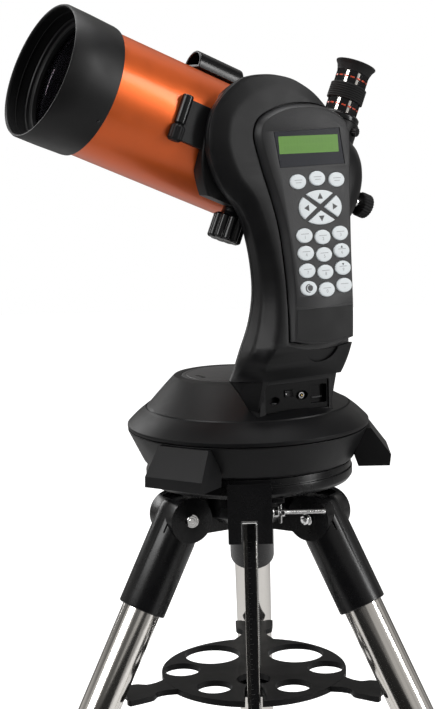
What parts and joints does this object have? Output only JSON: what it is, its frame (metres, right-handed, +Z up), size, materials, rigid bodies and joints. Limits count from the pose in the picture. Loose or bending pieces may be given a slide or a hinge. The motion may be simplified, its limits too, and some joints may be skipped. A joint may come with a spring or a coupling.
{
  "type": "maksutov telescope",
  "caption": "Maksutov telescope on a motorised single-arm mount with a hand controller, carried by a folding steel tripod with an accessory tray.",
  "frame": {"origin": "centre of the floor under the whole part's box", "axes": "+Z up, -Y to the side that the tripod's latitude scale faces, +X to the right seen from there"},
  "size_m": [0.8436, 0.7355, 1.2145],
  "materials": {
    "cast_black": "semi-gloss black paint on a casting",
    "polished_steel": "polished",
    "satin_black": "satin, fine grain",
    "black_metal": "satin black anodised",
    "matte_black": "matte",
    "gear_brass": "machined",
    "key_grey": "satin light grey",
    "orange_paint": "metallic orange lacquer",
    "coated_glass": "coated, polished",
    "mirror_glass": "polished",
    "brushed_steel": "brushed"
  },
  "bodies": {
    "tripod": {"tripod_head": "cast_black", "tie_rod": "polished_steel"},
    "leg_1": {"leg_bracket_1": "cast_black", "leg_tube_1": "polished_steel"},
    "leg_1_lower": {"leg_extension_1": "polished_steel"},
    "leg_1_lock": {"leg_lock_knob_1": "satin_black"},
    "leg_2": {"leg_bracket_2": "cast_black", "leg_tube_2": "polished_steel"},
    "leg_2_lower": {"leg_extension_2": "polished_steel"},
    "leg_2_lock": {"leg_lock_knob_2": "satin_black"},
    "leg_3": {"leg_bracket_3": "cast_black", "leg_tube_3": "polished_steel"},
    "leg_3_lower": {"leg_extension_3": "polished_steel"},
    "leg_3_lock": {"leg_lock_knob_3": "satin_black"},
    "tray": {"accessory_tray": "satin_black"},
    "tray_nut": {"tray_knob": "satin_black"},
    "wedge": {"wedge_plate": "cast_black", "base_housing": "satin_black", "azimuth_gear": "gear_brass"},
    "scale_bar": {"latitude_bar": "polished_steel"},
    "mount": {"turntable": "satin_black", "arm_outer_shell": "satin_black", "arm_inner_shell": "satin_black", "port_panel": "satin_black"},
    "lid": {"battery_cover": "satin_black"},
    "rocker": {"power_switch": "matte_black"},
    "saddle": {"clamp_saddle": "black_metal", "altitude_gear": "gear_brass"},
    "clamp": {"clamp_knob": "satin_black"},
    "tube": {"optical_tube": "orange_paint", "front_cell": "matte_black", "corrector_lens": "coated_glass", "rear_cell": "black_metal", "finder": "satin_black", "dovetail_bar": "black_metal", "baffle_tube": "matte_black"},
    "focus": {"focus_knob": "satin_black"},
    "mirror": {"primary_mirror": "mirror_glass"},
    "flip": {"flip_mirror": "brushed_steel"},
    "ocular": {"eyepiece": "matte_black"},
    "handset": {"handset_shell": "satin_black"},
    "key_top_1_cap": {"key_top_1": "key_grey"},
    "key_top_2_cap": {"key_top_2": "key_grey"},
    "key_top_3_cap": {"key_top_3": "key_grey"},
    "key_up_cap": {"key_up": "key_grey"},
    "key_down_cap": {"key_down": "key_grey"},
    "key_left_cap": {"key_left": "key_grey"},
    "key_right_cap": {"key_right": "key_grey"},
    "key_1_cap": {"key_1": "key_grey"},
    "key_2_cap": {"key_2": "key_grey"},
    "key_3_cap": {"key_3": "key_grey"},
    "key_4_cap": {"key_4": "key_grey"},
    "key_5_cap": {"key_5": "key_grey"},
    "key_6_cap": {"key_6": "key_grey"},
    "key_7_cap": {"key_7": "key_grey"},
    "key_8_cap": {"key_8": "key_grey"},
    "key_9_cap": {"key_9": "key_grey"},
    "key_10_cap": {"key_10": "key_grey"},
    "key_11_cap": {"key_11": "key_grey"},
    "key_12_cap": {"key_12": "key_grey"}
  },
  "joints": [
    {"name": "leg_1_fold", "type": "hinge", "parent": "tripod", "child": "leg_1", "pos_m": [0, -0.03911, 0.72578], "axis": [-1, 0, 0], "range_deg": [0, 8.2]},
    {"name": "leg_1_length", "type": "slide", "parent": "leg_1", "child": "leg_1_lower", "axis": [0, 0.4695, -0.8829], "range_m": [-0.085, 0.43]},
    {"name": "leg_1_lock_turn", "type": "hinge", "parent": "leg_1", "child": "leg_1_lock", "pos_m": [0, 0.28811, 0.17492], "axis": [0, 0.8829, 0.4695], "continuous": true},
    {"name": "leg_2_fold", "type": "hinge", "parent": "tripod", "child": "leg_2", "pos_m": [-0.06729, -0.15566, 0.72578], "axis": [0.5, -0.866, 0], "range_deg": [0, 8.2]},
    {"name": "leg_2_length", "type": "slide", "parent": "leg_2", "child": "leg_2_lower", "axis": [-0.4066, -0.2347, -0.8829], "range_m": [-0.085, 0.43]},
    {"name": "leg_2_lock_turn", "type": "hinge", "parent": "leg_2", "child": "leg_2_lock", "pos_m": [-0.35067, -0.31927, 0.17492], "axis": [-0.7647, -0.4415, 0.4695], "continuous": true},
    {"name": "leg_3_fold", "type": "hinge", "parent": "tripod", "child": "leg_3", "pos_m": [0.06729, -0.15566, 0.72578], "axis": [0.5, 0.866, 0], "range_deg": [0, 8.2]},
    {"name": "leg_3_length", "type": "slide", "parent": "leg_3", "child": "leg_3_lower", "axis": [0.4066, -0.2347, -0.8829], "range_m": [-0.085, 0.43]},
    {"name": "leg_3_lock_turn", "type": "hinge", "parent": "leg_3", "child": "leg_3_lock", "pos_m": [0.35067, -0.31927, 0.17492], "axis": [0.7647, -0.4415, 0.4695], "continuous": true},
    {"name": "tray_drop", "type": "slide", "parent": "tripod", "child": "tray", "axis": [0, 0, -1], "range_m": [0, 0.0805]},
    {"name": "tray_nut_turn", "type": "hinge", "parent": "tray", "child": "tray_nut", "pos_m": [0, -0.11681, 0.5418], "axis": [0, 0, 1], "continuous": true},
    {"name": "tilt", "type": "hinge", "parent": "tripod", "child": "wedge", "pos_m": [0, -0.02881, 0.75518], "axis": [-1, 0, 0], "range_deg": [0, 30]},
    {"name": "scale_bar_swing", "type": "hinge", "parent": "wedge", "child": "scale_bar", "pos_m": [0, -0.20681, 0.73228], "axis": [1, 0, 0], "range_deg": [0, 30]},
    {"name": "azimuth", "type": "hinge", "parent": "wedge", "child": "mount", "pos_m": [0, -0.11681, 0.81078], "axis": [0, 0, 1], "continuous": true},
    {"name": "battery_cover_lift", "type": "slide", "parent": "mount", "child": "lid", "axis": [0, 0, 1], "range_m": [0, 0.03]},
    {"name": "power_switch_rock", "type": "hinge", "parent": "mount", "child": "rocker", "pos_m": [0.0395, -0.19059, 0.85078], "axis": [0, 0, 1], "range_deg": [-8, 8]},
    {"name": "altitude", "type": "hinge", "parent": "mount", "child": "saddle", "pos_m": [0, -0.11681, 1.06828], "axis": [-0.5135, 0.8581, 0], "range_deg": [-33, 67]},
    {"name": "clamp_turn", "type": "hinge", "parent": "saddle", "child": "clamp", "pos_m": [-0.01839, -0.18748, 0.99602], "axis": [0.3325, 0.199, 0.9219], "continuous": true},
    {"name": "tube_slide", "type": "slide", "parent": "saddle", "child": "tube", "axis": [-0.791, -0.4734, 0.3875], "range_m": [-0.02, 0.02]},
    {"name": "focus_turn", "type": "hinge", "parent": "tube", "child": "focus", "pos_m": [0.12247, -0.07999, 1.01616], "axis": [-0.791, -0.4734, 0.3875], "range_deg": [-725, 725]},
    {"name": "mirror_slide", "type": "slide", "parent": "tube", "child": "mirror", "axis": [-0.791, -0.4734, 0.3875], "range_m": [-0.004, 0.004]},
    {"name": "flip_turn", "type": "hinge", "parent": "tube", "child": "flip", "pos_m": [0.07184, -0.07708, 1.03379], "axis": [-0.5135, 0.8581, 0], "range_deg": [0, 45]},
    {"name": "eyepiece_pull", "type": "slide", "parent": "tube", "child": "ocular", "axis": [0.3325, 0.199, 0.9219], "range_m": [0, 0.03]},
    {"name": "handset_lift", "type": "slide", "parent": "mount", "child": "handset", "axis": [0.5101, -0.8523, 0.1157], "range_m": [0, 0.06]},
    {"name": "key_top_1_press", "type": "slide", "parent": "handset", "child": "key_top_1_cap", "axis": [-0.5101, 0.8523, -0.1157], "range_m": [0, 0.001], "stiffness_N_per_m": 250, "springref_m": -0.0006},
    {"name": "key_top_2_press", "type": "slide", "parent": "handset", "child": "key_top_2_cap", "axis": [-0.5101, 0.8523, -0.1157], "range_m": [0, 0.001], "stiffness_N_per_m": 250, "springref_m": -0.0006},
    {"name": "key_top_3_press", "type": "slide", "parent": "handset", "child": "key_top_3_cap", "axis": [-0.5101, 0.8523, -0.1157], "range_m": [0, 0.001], "stiffness_N_per_m": 250, "springref_m": -0.0006},
    {"name": "key_up_press", "type": "slide", "parent": "handset", "child": "key_up_cap", "axis": [-0.5101, 0.8523, -0.1157], "range_m": [0, 0.001], "stiffness_N_per_m": 250, "springref_m": -0.0006},
    {"name": "key_down_press", "type": "slide", "parent": "handset", "child": "key_down_cap", "axis": [-0.5101, 0.8523, -0.1157], "range_m": [0, 0.001], "stiffness_N_per_m": 250, "springref_m": -0.0006},
    {"name": "key_left_press", "type": "slide", "parent": "handset", "child": "key_left_cap", "axis": [-0.5101, 0.8523, -0.1157], "range_m": [0, 0.001], "stiffness_N_per_m": 250, "springref_m": -0.0006},
    {"name": "key_right_press", "type": "slide", "parent": "handset", "child": "key_right_cap", "axis": [-0.5101, 0.8523, -0.1157], "range_m": [0, 0.001], "stiffness_N_per_m": 250, "springref_m": -0.0006},
    {"name": "key_1_press", "type": "slide", "parent": "handset", "child": "key_1_cap", "axis": [-0.5101, 0.8523, -0.1157], "range_m": [0, 0.001], "stiffness_N_per_m": 250, "springref_m": -0.0006},
    {"name": "key_2_press", "type": "slide", "parent": "handset", "child": "key_2_cap", "axis": [-0.5101, 0.8523, -0.1157], "range_m": [0, 0.001], "stiffness_N_per_m": 250, "springref_m": -0.0006},
    {"name": "key_3_press", "type": "slide", "parent": "handset", "child": "key_3_cap", "axis": [-0.5101, 0.8523, -0.1157], "range_m": [0, 0.001], "stiffness_N_per_m": 250, "springref_m": -0.0006},
    {"name": "key_4_press", "type": "slide", "parent": "handset", "child": "key_4_cap", "axis": [-0.5101, 0.8523, -0.1157], "range_m": [0, 0.001], "stiffness_N_per_m": 250, "springref_m": -0.0006},
    {"name": "key_5_press", "type": "slide", "parent": "handset", "child": "key_5_cap", "axis": [-0.5101, 0.8523, -0.1157], "range_m": [0, 0.001], "stiffness_N_per_m": 250, "springref_m": -0.0006},
    {"name": "key_6_press", "type": "slide", "parent": "handset", "child": "key_6_cap", "axis": [-0.5101, 0.8523, -0.1157], "range_m": [0, 0.001], "stiffness_N_per_m": 250, "springref_m": -0.0006},
    {"name": "key_7_press", "type": "slide", "parent": "handset", "child": "key_7_cap", "axis": [-0.5101, 0.8523, -0.1157], "range_m": [0, 0.001], "stiffness_N_per_m": 250, "springref_m": -0.0006},
    {"name": "key_8_press", "type": "slide", "parent": "handset", "child": "key_8_cap", "axis": [-0.5101, 0.8523, -0.1157], "range_m": [0, 0.001], "stiffness_N_per_m": 250, "springref_m": -0.0006},
    {"name": "key_9_press", "type": "slide", "parent": "handset", "child": "key_9_cap", "axis": [-0.5101, 0.8523, -0.1157], "range_m": [0, 0.001], "stiffness_N_per_m": 250, "springref_m": -0.0006},
    {"name": "key_10_press", "type": "slide", "parent": "handset", "child": "key_10_cap", "axis": [-0.5101, 0.8523, -0.1157], "range_m": [0, 0.001], "stiffness_N_per_m": 250, "springref_m": -0.0006},
    {"name": "key_11_press", "type": "slide", "parent": "handset", "child": "key_11_cap", "axis": [-0.5101, 0.8523, -0.1157], "range_m": [0, 0.001], "stiffness_N_per_m": 250, "springref_m": -0.0006},
    {"name": "key_12_press", "type": "slide", "parent": "handset", "child": "key_12_cap", "axis": [-0.5101, 0.8523, -0.1157], "range_m": [0, 0.001], "stiffness_N_per_m": 250, "springref_m": -0.0006}
  ],
  "couplings": [
    {"joint": "leg_2_fold", "follows": "leg_1_fold", "ratio": 1},
    {"joint": "leg_3_fold", "follows": "leg_1_fold", "ratio": 1},
    {"joint": "tray_drop", "follows": "leg_1_fold", "m_per_rad": 0.559},
    {"joint": "scale_bar_swing", "follows": "tilt", "ratio": 1},
    {"joint": "focus_turn", "follows": "mirror_slide", "rad_per_m": 3141.6}
  ]
}
